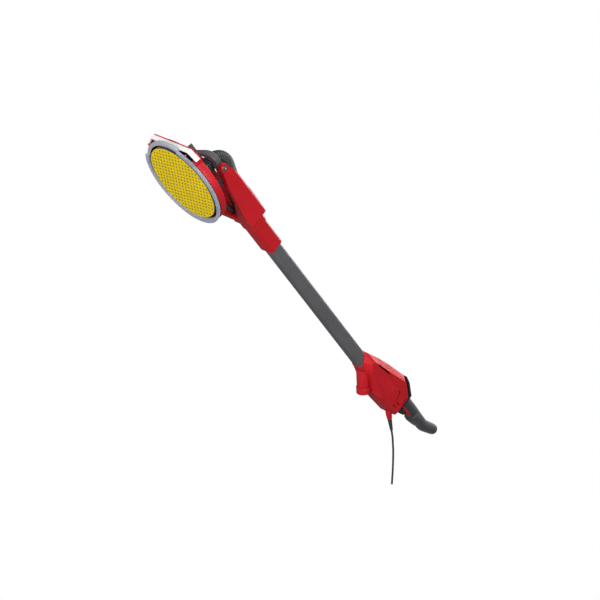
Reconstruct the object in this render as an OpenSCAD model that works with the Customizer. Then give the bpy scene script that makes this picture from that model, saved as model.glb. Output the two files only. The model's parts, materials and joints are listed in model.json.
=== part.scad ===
// Pole drywall sander: a disc head in a gimbal and fork, a long tube, and a motor with a rear handle.
// The origin is the centre of the working face. +Z runs along the pole to the head, -Y is the disc's side.

/* [Head] */
// Diameter of the abrasive disc
disc_d = 225; // [222:0.5:226]
// Distance from the gimbal centre to the working face
face_drop = 91; // [91:0.5:93]
// Angle between the disc and the pole at rest
head_tilt = 10.7; // [9:0.1:12]
// Outer radius of the cover's skirt
skirt_r = 128; // [127.5:0.5:129]
// How far the brush stands proud of the working face
brush_proud = 2; // [1:0.5:4]
// Distance of the flat front edge from the spindle
front_flat = 119; // [118:0.5:120]
// Depth of the roll axis below the pitch axis
roll_drop = 22; // [22:0.5:23]

/* [Fork and gimbal] */
// Half the width over the fork's arms
fork_half_w = 73.5; // [73:0.5:76]
// Half the gap between the fork's arms
fork_gap_half = 60; // [60:0.5:61]
// Radius of the ribbed dust hose
hose_r = 21; // [19:0.5:21]

/* [Pole] */
// Width of the tube, flat to flat
tube_w = 41; // [40:0.5:42]
// Corner radius of the tube
tube_corner = 13; // [12:0.5:14]
// Wall thickness of the tube
tube_wall = 2; // [1.5:0.1:2.5]
// Height of the tube's head end
tube_top = -240; // [-245:1:-238]
// Height of the tube's motor end
tube_bottom = -944; // [-946:1:-940]

/* [Motor end] */
// Half the width of the motor housing
housing_half_w = 42; // [42:0.5:45]
// Wall thickness of the mouldings
shell_t = 3; // [2.5:0.1:3.5]
// Angle between the dust outlet and the pole
port_angle = 33; // [31:1:35]
// Inner radius of the dust collar
port_bore_r = 16; // [15:0.5:16]
// Radius of the grip
grip_r = 20; // [19:0.5:20]

/* [Drive] */
// Teeth on the head's crown gear
crown_teeth = 33; // [33:11:33]
// Teeth on the head's pinion
pinion_teeth = 11; // [11:1:11]
// Teeth on the drive shaft's gear
shaft_teeth = 36; // [36:4:36]
// Teeth on the motor's pinion
motor_teeth = 9; // [9:1:9]

/* [Hidden] */
$fn = 48;

// Play between a shaft and its hole, on the radius
fit = 0.03;
// A hose or grip is this much thinner in its bend than in the straight runs that overlap it
bend_step = 0.3;

// Heights in the head's own frame, from the gimbal centre towards the working face
abrasive_t = 1.4;
hook_t = 2;
foam_t = 9.6;
plate_t = 2.6;
hook_z = face_drop - abrasive_t - hook_t;
foam_z = hook_z - foam_t;
plate_z = foam_z - plate_t;
flange_t = 2;
plateau_z = 30;
plateau_r = 52;
shoulder_z = 61;
skirt_low_z = 81.8;
brush_low_z = 82.2;
flange_z = 85.5;
brush_top_z = 86.3;
pinion_z = 52;
crown_r = 21;
pinion_r = crown_r * pinion_teeth / crown_teeth;
lid_z = 66;
lid_t = 7;
spindle_r = 6;
boot_y = -13;
pin_r = 4;

// The hose: an arc behind the gimbal, then a straight run into the neck
hose_arc_y = 4;
hose_arc_z = -47;
hose_arc_r = 36;
hose_turn = 107;
hose_run = 126;
hose_start_y = -22;

// The drive line runs along the pole on this offset, and the motor beside it
drive_y = -4;
shaft_gear_r = 15.2;
motor_gear_r = shaft_gear_r * motor_teeth / shaft_teeth;
motor_y = drive_y + shaft_gear_r + motor_gear_r;
gear_z = -1020;
gear_t = 7;

// The dust outlet
port_start_y = 3;
port_start_z = -936;
port_len = 101;
port_r = 19;
collar_start = 80;
spigot_r = 17.4;
spigot_end = 87.4;

// The grip
grip_y = 31;
grip_bend_z = -1315;
grip_bend = 20;
grip_bend_r = 45;
grip_root_z = -1173.5;

// The cord leaves the housing's lower corner
cord_x = 12;
cord_y = -36.4;
cord_z = -1156;
cord_angle = 24.4;

// --- Helpers ---

// The pole's frame: the model's axes, drawn from the gimbal's centre
module pole_frame() {
    translate([0, face_drop * cos(head_tilt), -face_drop * sin(head_tilt)]) children();
}

// The head's frame, also from the gimbal's centre: x across, y towards the front, z towards the working face
module head_frame() {
    pole_frame() rotate([90 - head_tilt, 0, 0]) children();
}

module ring(outer_r, inner_r, low, high) {
    translate([0, 0, low])
        difference() {
            cylinder(r = outer_r, h = high - low);
            translate([0, 0, -1]) cylinder(r = inner_r, h = high - low + 2);
        }
}

// A shape drawn in (Y, Z) and given a thickness across the pole
module across(x_low, x_high) {
    translate([x_low, 0, 0])
        rotate([90, 0, 90])
            linear_extrude(height = x_high - x_low) children();
}

// A cylinder across the pole
module cross_pin(r, x_low, x_high, y, z) {
    translate([x_low, y, z]) rotate([0, 90, 0]) cylinder(r = r, h = x_high - x_low);
}

module rounded_square(w, d, r) {
    union() {
        square([w - 2 * r, d], center = true);
        square([w, d - 2 * r], center = true);
        for (sx = [-1, 1], sy = [-1, 1])
            translate([sx * (w / 2 - r), sy * (d / 2 - r)]) circle(r = r);
    }
}

module tube_section(grow) {
    rounded_square(tube_w + 2 * grow, tube_w + 2 * grow, tube_corner + grow);
}

// Spur teeth, narrow enough to keep backlash at every phase
module gear_section(teeth, pitch_r, width, tip, root) {
    union() {
        circle(r = pitch_r - root);
        for (i = [0 : teeth - 1])
            rotate(90 + i * 360 / teeth)
                polygon([
                    [pitch_r - root - 0.4, -width * 0.6], [pitch_r + tip, -width * 0.35],
                    [pitch_r + tip, width * 0.35], [pitch_r - root - 0.4, width * 0.6]
                ]);
    }
}

module bearing(outer_r, inner_r, low, high) {
    groove = (outer_r - inner_r) * 0.3;
    difference() {
        ring(outer_r, inner_r, low, high);
        ring(outer_r - groove, inner_r + groove, low - 1, low + 0.6);
        ring(outer_r - groove, inner_r + groove, high - 0.6, high + 1);
    }
}

// --- Head ---

bracket_r = 44;
bracket_t = 3;
// The roll axis is held in front and behind; the front lug stands closer in
lug_y = [27, 43];
lug_t = 11;
cover_screw_r = 38;
cover_screw_angles = [22, 158, 202, 338];

module at_cover_screws() {
    for (a = cover_screw_angles)
        rotate(a) translate([cover_screw_r, 0, 0]) children();
}

// The path of the flexible drive, inside the head's frame
flex_y = -46;
flex_bend_r = 40;
flex_bend = 26;
flex_r = 7;

module flex_path(r, straight) {
    lap = 2;
    translate([0, flex_y, pinion_z - flex_bend_r])
        rotate([0, 90, 0])
            rotate([0, 0, 180])
                rotate_extrude(angle = flex_bend) translate([flex_bend_r, 0]) circle(r = r - bend_step);
    translate([0, flex_y, pinion_z - flex_bend_r])
        rotate([flex_bend, 0, 0])
            translate([0, lap, flex_bend_r])
                rotate([90, 0, 0]) cylinder(r = r, h = straight + lap);
}

// The squared-off front of the head
front_side_x = 97;
front_side_y = 94;

module front_outline(inset) {
    x = front_side_x - inset;
    y = front_flat - inset;
    polygon([
        [-x, 40], [-x, y - 24], [-x + 22, y], [x - 22, y], [x, y - 24], [x, 40]
    ]);
}

module head_cover() {
    color("firebrick")
    head_frame()
        difference() {
            union() {
                rotate_extrude($fn = 96)
                    polygon([
                        [0, plateau_z], [plateau_r, plateau_z], [skirt_r - 6, shoulder_z],
                        [skirt_r, shoulder_z + 3], [skirt_r, skirt_low_z], [skirt_r - shell_t, skirt_low_z],
                        [skirt_r - shell_t, shoulder_z + 5], [skirt_r - 8, shoulder_z + 3],
                        [plateau_r - 2, plateau_z + shell_t], [0, plateau_z + shell_t]
                    ]);
                translate([0, 0, shoulder_z])
                    linear_extrude(height = shell_t)
                        difference() {
                            front_outline(0);
                            circle(r = skirt_r - 7, $fn = 96);
                        }
                translate([0, 0, shoulder_z])
                    linear_extrude(height = skirt_low_z - shoulder_z)
                        difference() {
                            front_outline(0);
                            circle(r = skirt_r - shell_t + 1, $fn = 96);
                            translate([-150, front_side_y]) square([300, 80]);
                        }
            }
            translate([-150, front_flat, 0]) cube([300, 80, 120]);
            translate([-front_side_x - 1, front_side_y, shoulder_z + shell_t + 0.2])
                cube([2 * front_side_x + 2, 80, 40]);
            translate([0, boot_y, 0]) cylinder(r = 19, h = 60);
            at_cover_screws() cylinder(r = 2.6, h = 60);
            flex_path(flex_r + 2, 60);
        }
}

module head_bracket() {
    lug_w = 15;
    color("dimgray")
    head_frame()
        difference() {
            union() {
                translate([0, 0, plateau_z - bracket_t]) cylinder(r = bracket_r, h = bracket_t);
                for (i = [0, 1]) rotate(i * 180) {
                    translate([-lug_w / 2, 20, plateau_z - bracket_t])
                        cube([lug_w, lug_y[i] + lug_t - 20, bracket_t]);
                    translate([-lug_w / 2, lug_y[i], roll_drop])
                        cube([lug_w, lug_t, plateau_z - roll_drop]);
                    translate([0, lug_y[i], roll_drop])
                        rotate([-90, 0, 0]) cylinder(r = lug_w / 2, h = lug_t);
                }
            }
            translate([-30, lug_y[0] + lug_t + 0.5, 0]) cube([60, 30, 60]);
            translate([0, boot_y, 0]) cylinder(r = 26.1, h = 60);
            at_cover_screws() cylinder(r = 2.6, h = 60);
            translate([0, -60, roll_drop]) rotate([-90, 0, 0]) cylinder(r = pin_r + fit, h = 120);
        }
}

module gearbox_housing() {
    top_z = plateau_z + shell_t;
    color("silver")
    head_frame()
        difference() {
            union() {
                translate([0, 0, top_z]) cylinder(r = 43, h = 4);
                translate([0, 0, top_z]) cylinder(r = 31, h = lid_z - top_z);
                translate([0, flex_y + 20, pinion_z]) rotate([90, 0, 0]) cylinder(r = 14, h = 20);
            }
            translate([0, boot_y, 0]) cylinder(r = 16, h = 37.2);
            translate([-14, -60, top_z - 1]) cube([28, 60 + boot_y, 5.2]);
            translate([0, 0, 43.4]) cylinder(r = 27, h = 40);
            translate([0, 0, 38.4]) cylinder(r = 11 + fit, h = 10);
            translate([0, flex_y + 30, pinion_z]) rotate([90, 0, 0]) cylinder(r = 7, h = 40);
            translate([0, flex_y + 10, pinion_z]) rotate([90, 0, 0]) cylinder(r = 11 + fit, h = 11);
            at_cover_screws() cylinder(r = 2.6, h = 60);
        }
}

module gearbox_lid() {
    color("silver")
    head_frame()
        difference() {
            translate([0, 0, lid_z]) cylinder(r = 31, h = lid_t);
            translate([0, 0, lid_z - 1]) cylinder(r = 14 + fit, h = lid_t + 2);
        }
}

module head_bearings() {
    color("lightgray")
    head_frame() {
        bearing(14, 8 + fit, lid_z, lid_z + lid_t);
        bearing(11, spindle_r + fit, 38.4, 43.4);
        translate([0, flex_y, pinion_z]) rotate([-90, 0, 0]) bearing(11, 5 + fit, 1, 9);
    }
}

module hose_boot() {
    color("#202022")
    head_frame()
        translate([0, boot_y, 0])
            difference() {
                union() {
                    translate([0, 0, 16]) cylinder(r = 26, h = 14);
                    translate([0, 0, 30]) cylinder(r = 18.8, h = 3);
                }
                translate([0, 0, 15]) cylinder(r = 23.5, h = 13);
                translate([0, 0, 20]) cylinder(r = 15.5, h = 20);
            }
}

module cover_screws() {
    color("silver")
    head_frame()
        at_cover_screws() {
            translate([0, 0, 24.8]) cylinder(r = 4, h = 2.2);
            translate([0, 0, 26]) cylinder(r = 2.5, h = 10.8);
        }
}

spring_angles = [0, 60, 180, 240, 300];

module ring_springs() {
    color("silver")
    head_frame()
        for (a = spring_angles)
            rotate(a) translate([121.4, 0, 0]) ring(2.2, 1.4, shoulder_z + 5.4, brush_low_z - 0.2);
}

// --- Pad, which spins ---

module spindle() {
    color("silver")
    head_frame()
        difference() {
            union() {
                translate([0, 0, 38.6]) cylinder(r = spindle_r, h = lid_z - 0.8 - 38.6);
                translate([0, 0, lid_z - 0.8]) cylinder(r = 8, h = plate_z - flange_t - lid_z + 0.8);
                translate([0, 0, plate_z - flange_t]) cylinder(r = 16, h = flange_t);
            }
            translate([0, 0, 59]) cylinder(r = 4 + fit, h = 40);
        }
}

module crown_gear() {
    tooth_t = 1.1;
    color("goldenrod")
    head_frame()
        union() {
            ring(24, spindle_r + fit, 60.8, lid_z - 1);
            for (i = [0 : crown_teeth - 1])
                rotate((i + 0.5) * 360 / crown_teeth + 270)
                    translate([crown_r - 2, -tooth_t / 2, 58]) cube([4, tooth_t, 3]);
        }
}

module pad_plate() {
    color("dimgray")
    head_frame() ring(96, 4 + fit, plate_z, foam_z);
}

module at_pad_holes() {
    for (i = [0 : 7]) rotate(i * 45) translate([72, 0, 0]) children();
}

module backing_pad() {
    color("#26262a")
    head_frame()
        difference() {
            ring(disc_d / 2 - 1.5, 14, foam_z, hook_z);
            at_pad_holes() translate([0, 0, foam_z - 1]) cylinder(r = 5, h = foam_t + 2);
        }
}

module hook_layer() {
    color("#3a3a3e")
    head_frame()
        difference() {
            ring(disc_d / 2 - 1, 14, hook_z, hook_z + hook_t);
            at_pad_holes() translate([0, 0, hook_z - 1]) cylinder(r = 5, h = hook_t + 2);
        }
}

module abrasive_disc() {
    color("gold")
    head_frame()
        translate([0, 0, face_drop - abrasive_t]) cylinder(r = disc_d / 2, h = abrasive_t, $fn = 96);
}

module pad_screw() {
    color("silver")
    head_frame()
        difference() {
            union() {
                translate([0, 0, foam_z]) cylinder(r = 9, h = 4);
                translate([0, 0, 60]) cylinder(r = 4, h = foam_z - 60);
            }
            translate([0, 0, foam_z + 1]) cylinder(r = 3, h = 4, $fn = 6);
        }
}

// --- Head pinion ---

module head_pinion() {
    color("goldenrod")
    head_frame()
        translate([0, 0, pinion_z]) rotate([90, 0, 0])
            union() {
                translate([0, 0, crown_r - 2.4])
                    linear_extrude(height = 4.8)
                        gear_section(pinion_teeth, pinion_r, 1.1, 1, 1.3);
                translate([0, 0, crown_r - 3]) cylinder(r = 5, h = -flex_y - crown_r + 2.6);
            }
}

// --- Brush ring, which floats ---

bare_start = 70;
bare_end = 150;
carrier_in = 118.6;
carrier_out = 124.2;

module brush_sector() {
    rotate([0, 0, bare_end])
        rotate_extrude(angle = 360 - bare_end + bare_start, $fn = 96) children();
}

module brush_ring() {
    color("#8d9098")
    head_frame()
        brush_sector()
            polygon([
                [carrier_in, brush_low_z], [carrier_out, brush_low_z], [carrier_out, flange_z],
                [skirt_r, flange_z], [skirt_r, brush_top_z], [carrier_in, brush_top_z]
            ]);
}

module brush_bristles() {
    color("#aab0bc")
    head_frame()
        brush_sector()
            polygon([
                [carrier_in + 0.2, brush_top_z + 0.02], [skirt_r - 0.2, brush_top_z + 0.02],
                [skirt_r + 2, face_drop + brush_proud], [120.5, face_drop + brush_proud]
            ]);
}

segment_low_z = shoulder_z + shell_t + 0.5;
segment_high_z = 78;
// The lip's wall stops short of the skirt, so that the segment slides off
lip_wall_turn = 60;
lip_in = 117.5;
lip_low_z = 83.3;

module front_segment() {
    wall_t = 3;
    color("whitesmoke")
    head_frame()
        translate([0, 0, segment_low_z])
            linear_extrude(height = segment_high_z - segment_low_z)
                difference() {
                    front_outline(0.3);
                    front_outline(0.3 + wall_t);
                    translate([-150, 0]) square([300, front_side_y + 0.3]);
                }
}

module segment_lip() {
    color("#9a9da6")
    head_frame()
        union() {
            rotate([0, 0, bare_start + 0.5])
                rotate_extrude(angle = bare_end - bare_start - 1, $fn = 96)
                    polygon([
                        [lip_in, lip_low_z], [skirt_r, lip_low_z],
                        [skirt_r, brush_top_z], [lip_in, brush_top_z]
                    ]);
            rotate([0, 0, bare_start + 0.5])
                rotate_extrude(angle = lip_wall_turn, $fn = 96)
                    polygon([
                        [lip_in, segment_high_z], [skirt_r, segment_high_z],
                        [skirt_r, lip_low_z + 0.2], [lip_in, lip_low_z + 0.2]
                    ]);
        }
}

// --- Gimbal ---

ring_in_x = 46;
ring_out_x = 58;
ring_in_y = [40, 56];
ring_out_y = [50, 67];
bush_r = 8;
screw_r = 5;

// A rounded frame that reaches further behind the pitch axis than in front of it
module gimbal_outline(half_x, reach_y, r) {
    translate([0, (reach_y[0] - reach_y[1]) / 2])
        rounded_square(2 * half_x, reach_y[0] + reach_y[1], r);
}

module gimbal_frame() {
    color("gray")
    head_frame()
        difference() {
            union() {
                intersection() {
                    linear_extrude(height = 80, center = true)
                        difference() {
                            gimbal_outline(ring_out_x, ring_out_y, 34);
                            gimbal_outline(ring_in_x, ring_in_y, 27);
                        }
                    rotate([90, 0, 0])
                        linear_extrude(height = 160, center = true)
                            polygon([
                                [-60, 7], [0, 26.5], [60, 7], [60, -8],
                                [52, -8], [0, 13], [-52, -8], [-60, -8]
                            ]);
                }
                for (i = [0, 1]) rotate(i * 180) {
                    translate([0, ring_in_y[i], roll_drop]) rotate([-90, 0, 0])
                        cylinder(r = 7.6, h = ring_out_y[i] - ring_in_y[i]);
                    translate([ring_in_x, 0, 0]) rotate([0, 90, 0])
                        cylinder(r = 11, h = ring_out_x - ring_in_x);
                }
            }
            cross_pin(bush_r + fit, -70, 70, 0, 0);
            translate([0, -80, roll_drop]) rotate([-90, 0, 0]) cylinder(r = pin_r + fit, h = 160);
        }
}

module gimbal_bushes() {
    color("#d8d2c0")
    pole_frame()
    for (s = [0, 180]) rotate([0, 0, s])
        translate([ring_in_x, 0, 0]) rotate([0, 90, 0])
            ring(bush_r, screw_r + fit, 0, ring_out_x - ring_in_x);
}

module head_pivot_pins() {
    color("#202022")
    head_frame()
        for (i = [0, 1]) rotate(i * 180)
            translate([0, lug_y[i] - 1, roll_drop]) rotate([-90, 0, 0])
                union() {
                    cylinder(r = pin_r, h = ring_out_y[i] - lug_y[i] + 2);
                    translate([0, 0, ring_out_y[i] - lug_y[i] + 1.2]) cylinder(r = 6.5, h = 2.6);
                }
}

module hose_path(r, extra) {
    end_angle = 90 - hose_turn;
    lap = 2;
    union() {
        translate([0, hose_start_y - extra, hose_arc_z + hose_arc_r])
            rotate([-90, 0, 0]) cylinder(r = r, h = hose_arc_y - hose_start_y + extra + lap);
        translate([0, hose_arc_y, hose_arc_z])
            rotate([90, 0, 90]) rotate([0, 0, end_angle])
                rotate_extrude(angle = hose_turn) translate([hose_arc_r, 0]) circle(r = r - bend_step);
        translate([0, hose_arc_y, hose_arc_z])
            rotate([end_angle, 0, 0])
                translate([0, hose_arc_r, lap]) rotate([180, 0, 0])
                    cylinder(r = r, h = hose_run + extra + lap);
    }
}

module dust_hose() {
    color("#222226")
    pole_frame()
    difference() {
        hose_path(hose_r, 0);
        hose_path(hose_r - 3, 1);
    }
}

module flex_drive() {
    color("#2a2a2e")
    head_frame()
        difference() {
            flex_path(flex_r, 138);
            translate([-20, flex_y - 1, pinion_z - 20]) cube([40, 20, 40]);
        }
}

// --- Fork ---

arm_side = [
    [10.5, 1], [17, -20], [28, -68], [32, -113], [22, -223], [10, -236], [-29, -236], [-31, -217],
    [-40, -201], [-41, -181], [-35, -122], [-24, -49], [-10.5, 1]
];

module fork_outer() {
    difference() {
        intersection() {
            union() {
                across(-fork_half_w, fork_half_w) polygon(arm_side);
                cross_pin(13, -fork_half_w, fork_half_w, 0, 0);
            }
            rotate([90, 0, 0])
                linear_extrude(height = 120, center = true)
                    polygon([
                        [-fork_half_w, 20], [-fork_half_w, -200], [-52, -222], [-28, -240], [28, -240],
                        [52, -222], [fork_half_w, -200], [fork_half_w, 20], [fork_gap_half, 20],
                        [fork_gap_half, -110], [30, -182], [-30, -182], [-fork_gap_half, -110],
                        [-fork_gap_half, 20]
                    ]);
        }
        for (s = [-1, 1])
            translate([0, 0, -250])
                linear_extrude(height = 300)
                    polygon([
                        [s * (fork_half_w + 1), 17], [s * 50, 32], [s * 50, 60], [s * (fork_half_w + 1), 60]
                    ]);
        cross_pin(screw_r + fit, -90, 90, 0, 0);
        for (s = [-1, 1]) cross_pin(9.2, s * 80 - 9, s * 80 + 9, 0, 0);
        translate([0, 1, -206]) cylinder(r = 21.5, h = 60);
        translate([0, -2, -260]) cylinder(r = 17, h = 60);
        translate([0, -25, -260]) cylinder(r = 9, h = 100);
    }
}

fork_screw_spots = [[-32, -196], [14, -230], [-26, -230]];

module at_fork_screws(r, x_low, x_high) {
    for (p = fork_screw_spots) cross_pin(r, x_low, x_high, p[0], p[1]);
}

module fork_half(side) {
    color("firebrick")
    pole_frame()
    difference() {
        fork_outer();
        translate([side > 0 ? -200 : 0, -100, -300]) cube([200, 200, 400]);
        at_fork_screws(2.6, -24, 24);
        at_fork_screws(5.2, -100, -16);
    }
}

module fork_left() {
    fork_half(-1);
}

module fork_right() {
    fork_half(1);
}

module fork_screws() {
    color("silver")
    pole_frame()
    union() {
        at_fork_screws(2.5, -17, 20);
        at_fork_screws(4.6, -20, -16.2);
    }
}

module pivot_screws() {
    color("silver")
    pole_frame()
    for (s = [0, 180]) rotate([0, 0, s])
        difference() {
            union() {
                cross_pin(screw_r, ring_in_x, fork_half_w - 2.4, 0, 0);
                cross_pin(8, fork_half_w - 2.4, fork_half_w - 0.6, 0, 0);
            }
            translate([fork_half_w - 1.6, 0, 0]) rotate([0, 90, 0]) cylinder(r = 3, h = 4, $fn = 6);
        }
}

module neck_sleeve() {
    color("firebrick")
    pole_frame()
    difference() {
        union() {
            translate([0, 0, -266]) linear_extrude(height = 30) rounded_square(56, 52, 10);
            translate([0, 0, -362]) linear_extrude(height = 96.1) rounded_square(53, 48, 10);
        }
        translate([0, 0, -400]) linear_extrude(height = 160) tube_section(0.05);
        translate([0, 0, -241]) cylinder(r = 20, h = 10);
    }
}

// --- Pole ---

module main_tube() {
    color("#55565a")
    pole_frame()
    translate([0, 0, tube_bottom])
        linear_extrude(height = tube_top - tube_bottom)
            difference() {
                tube_section(0);
                tube_section(-tube_wall);
            }
}

casing_out = 7.2;
casing_in = 6.4;
shaft_r = 4.5;
shaft_top = -205;
shaft_low = -1034;

module drive_casing() {
    color("lightsteelblue")
    pole_frame()
    translate([0, drive_y, 0]) ring(casing_out, casing_in, -1008, -238);
}

module shaft_bushes() {
    color("#d8d2c0")
    pole_frame()
    translate([0, drive_y, 0])
        for (z = [-1002, -740, -490, -248])
            ring(casing_in - 0.02, shaft_r + fit, z, z + 8);
}

module drive_shaft() {
    color("silver")
    pole_frame()
    translate([0, drive_y, shaft_low]) cylinder(r = shaft_r, h = shaft_top - shaft_low);
}

module drive_gear() {
    color("goldenrod")
    pole_frame()
    translate([0, drive_y, gear_z])
        linear_extrude(height = gear_t)
            difference() {
                gear_section(shaft_teeth, shaft_gear_r, 0.85, 0.7, 0.95);
                circle(r = shaft_r + 0.01);
            }
}

// --- Motor end ---

// Side outline of the housing where its flat sides are
side_outline = [
    [8, -932], [19, -941], [34, -1019], [55, -1093], [52, -1108], [31, -1147], [-26, -1148],
    [-29, -1120], [-31, -1060], [-26, -1036], [-10, -972], [-8, -958]
];
// Outline of the middle, with the ridge along the top
spine_outline = [
    [-5, -916], [14, -901], [24, -908], [41, -959], [54, -1009], [71.5, -1091], [63, -1122],
    [45, -1161], [8, -1165], [-26, -1167], [-33, -1152], [-38, -1080], [-39, -1023], [-15, -934]
];

spine_half_w = 24;

module housing_body(inset) {
    difference() {
        hull() {
            across(-housing_half_w + inset, housing_half_w - inset)
                offset(delta = -inset) polygon(side_outline);
            across(-spine_half_w + inset, spine_half_w - inset)
                offset(delta = -inset) polygon(spine_outline);
        }
        across(-60, 60)
            polygon([
                [-26 - inset, -880], [-26 + inset, -940], [-14 + inset, -964 - inset], [-43 + inset, -1042],
                [-54 + inset, -1060], [-90, -1060], [-90, -880]
            ]);
    }
}

module port_frame() {
    translate([0, port_start_y, port_start_z]) rotate([180 - port_angle, 0, 0]) children();
}

housing_screw_spots = [[30, -962], [55, -1082], [-21, -1124], [36, -1132]];

module at_housing_screws(r, x_low, x_high) {
    for (p = housing_screw_spots) cross_pin(r, x_low, x_high, p[0], p[1]);
}

module housing_half(side) {
    color("firebrick")
    pole_frame()
    difference() {
        union() {
            housing_body(0);
            translate([0, 0, -952]) linear_extrude(height = 26) rounded_square(45, 45, 14);
            translate([-13, 11, -1236]) cube([26, 9, 76]);
        }
        difference() {
            housing_body(shell_t);
            for (p = housing_screw_spots) cross_pin(6, -60, 60, p[0], p[1]);
        }
        translate([0, 0, -1000]) linear_extrude(height = 160) tube_section(0.1);
        port_frame() translate([0, 0, -30]) cylinder(r = port_r + 0.4, h = 160);
        port_frame() translate([0, 0, collar_start - 1]) cylinder(r = port_r + 2.8, h = 80);
        translate([side > 0 ? -100 : 0, -100, -1300]) cube([100, 200, 500]);
        translate([0, grip_y, -1400]) cylinder(r = 10.4, h = 260);
        translate([-9.6, -20, -1225]) cube([19.2, 60, 40]);
        at_housing_screws(2.6, -34, 34);
        at_housing_screws(5.2, -60, -30);
        cross_pin(16, -60, -39.5, 12, -1084);
        cord_frame() translate([0, 0, -16.2]) cylinder(r = 9.2, h = 60);
    }
}

module housing_left() {
    housing_half(-1);
}

module housing_right() {
    housing_half(1);
}

module rear_frame() {
    color("#1c1c1e")
    pole_frame()
    difference() {
        across(-30, 30)
            polygon([
                [70.5, -1097.5], [74, -1098], [69.8, -1124.5], [49.3, -1168], [8, -1172.5], [8, -1165.8],
                [45.5, -1161.7], [63.9, -1122.3]
            ]);
        translate([0, grip_y, -1400]) cylinder(r = 10.4, h = 260);
        translate([-14, 9.5, -1240]) cube([28, 12, 100]);
    }
}

module gear_case() {
    low = -1032;
    high = -1010;
    color("silver")
    pole_frame()
    difference() {
        translate([0, 0, low])
            linear_extrude(height = high - low)
                union() {
                    translate([0, drive_y]) circle(r = 17.6);
                    translate([0, motor_y]) circle(r = 17);
                }
        translate([0, 0, gear_z - 2])
            linear_extrude(height = gear_t + 3)
                union() {
                    translate([0, drive_y]) circle(r = 16.4);
                    translate([0, motor_y]) circle(r = 9);
                }
        translate([0, drive_y, low - 1]) cylinder(r = 6, h = 40);
        translate([0, motor_y, low - 1]) cylinder(r = 5.4, h = 14);
        translate([0, drive_y, low - 1]) cylinder(r = 9 + fit, h = 7);
        translate([0, motor_y, low - 1]) cylinder(r = 9 + fit, h = 7);
    }
}

module stator() {
    color("#7a4a2a")
    pole_frame()
    translate([0, motor_y, 0]) ring(33, 24, -1100, -1052);
}

module rotor_shaft() {
    color("silver")
    pole_frame()
    translate([0, motor_y, 0])
        union() {
            translate([0, 0, gear_z]) linear_extrude(height = gear_t - 1)
                gear_section(motor_teeth, motor_gear_r, 0.85, 0.7, 0.95);
            translate([0, 0, -1026]) cylinder(r = 2.6, h = 6.2);
            translate([0, 0, -1136]) cylinder(r = 4, h = 110.2);
        }
}

module armature() {
    color("#8a5a32")
    pole_frame()
    translate([0, motor_y, 0]) ring(23.3, 4.02, -1098, -1054);
}

module commutator() {
    color("peru")
    pole_frame()
    translate([0, motor_y, 0]) ring(11, 4.02, -1119, -1105);
}

module cooling_fan() {
    color("#303034")
    pole_frame()
    translate([0, motor_y, 0])
        union() {
            ring(9, 4.02, -1046, -1038);
            ring(30, 8.9, -1046, -1044.6);
            for (i = [0 : 10])
                rotate(i * 360 / 11) translate([8.5, -0.6, -1045]) cube([21, 1.2, 7]);
        }
}

module motor_bearings() {
    color("lightgray")
    pole_frame()
    union() {
        translate([0, motor_y, 0]) bearing(9, 4 + fit, -1032, -1026.2);
        translate([0, drive_y, 0]) bearing(9, shaft_r + fit, -1032, -1026.2);
        translate([0, motor_y, 0]) bearing(9, 4 + fit, -1134, -1127);
    }
}

module brush_holders() {
    color("goldenrod")
    pole_frame()
    for (s = [0, 180])
        translate([0, motor_y, 0]) rotate(s)
            difference() {
                translate([13, -4, -1116]) cube([18, 8, 9]);
                translate([12, -3.05, -1115]) cube([20, 6.1, 7]);
            }
}

module carbon_brushes() {
    color("#303030")
    pole_frame()
    for (s = [0, 180])
        translate([0, motor_y, 0]) rotate(s)
            translate([11.1, -3, -1114.9]) cube([17, 6, 6.8]);
}

module speed_electronics() {
    color("darkgreen")
    pole_frame()
    translate([-20, -31, -1100]) cube([40, 10, 40]);
}

module dust_duct() {
    color("firebrick")
    pole_frame()
    difference() {
        port_frame()
            difference() {
                union() {
                    translate([0, 0, 12]) cylinder(r = port_r, h = collar_start - 12);
                    cylinder(r = spigot_r, h = spigot_end);
                }
                translate([0, 0, -1]) cylinder(r = port_bore_r - 1, h = port_len + 10);
            }
        translate([-60, -60, tube_bottom - 0.3]) cube([120, 120, 80]);
        translate([0, drive_y, -1060]) cylinder(r = casing_out + 0.2, h = 140);
    }
}

module dust_collar() {
    color("#a01822")
    pole_frame()
    port_frame()
        difference() {
            translate([0, 0, collar_start + 0.4]) cylinder(r = port_r + 2, h = port_len - collar_start - 0.4);
            translate([0, 0, collar_start - 1])
                cylinder(r = spigot_r + 0.06, h = spigot_end - collar_start + 1.4);
            translate([0, 0, 60]) cylinder(r = port_bore_r, h = 60);
        }
}

module speed_dial() {
    color("#202022")
    pole_frame()
    difference() {
        cross_pin(15, -44.5, -40, 12, -1084);
        for (i = [0 : 17])
            translate([-45, 12, -1084]) rotate([i * 20, 0, 0]) translate([0, 15, 0])
                rotate([0, 90, 0]) cylinder(r = 1.2, h = 6);
    }
}

rocker_y = 9;
rocker_z = -1207;

module switch_body() {
    color("#2a2a2e")
    pole_frame()
    translate([-9, 20.1, -1224]) cube([18, 0.8, 36]);
}

module switch_rocker() {
    color("#151517")
    pole_frame()
    difference() {
        cross_pin(12, -9, 9, rocker_y, rocker_z);
        cross_pin(1.5 + fit, -10, 10, rocker_y, rocker_z);
        translate([-10, rocker_y + 5, rocker_z - 20]) cube([20, 20, 40]);
    }
}

module switch_pin() {
    color("silver")
    pole_frame()
    cross_pin(1.5, -9.5, 9.5, rocker_y, rocker_z);
}

module housing_screws() {
    color("silver")
    pole_frame()
    union() {
        at_housing_screws(2.5, -30, 30);
        at_housing_screws(4.6, -33, -30);
    }
}

// --- Grip ---

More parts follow.
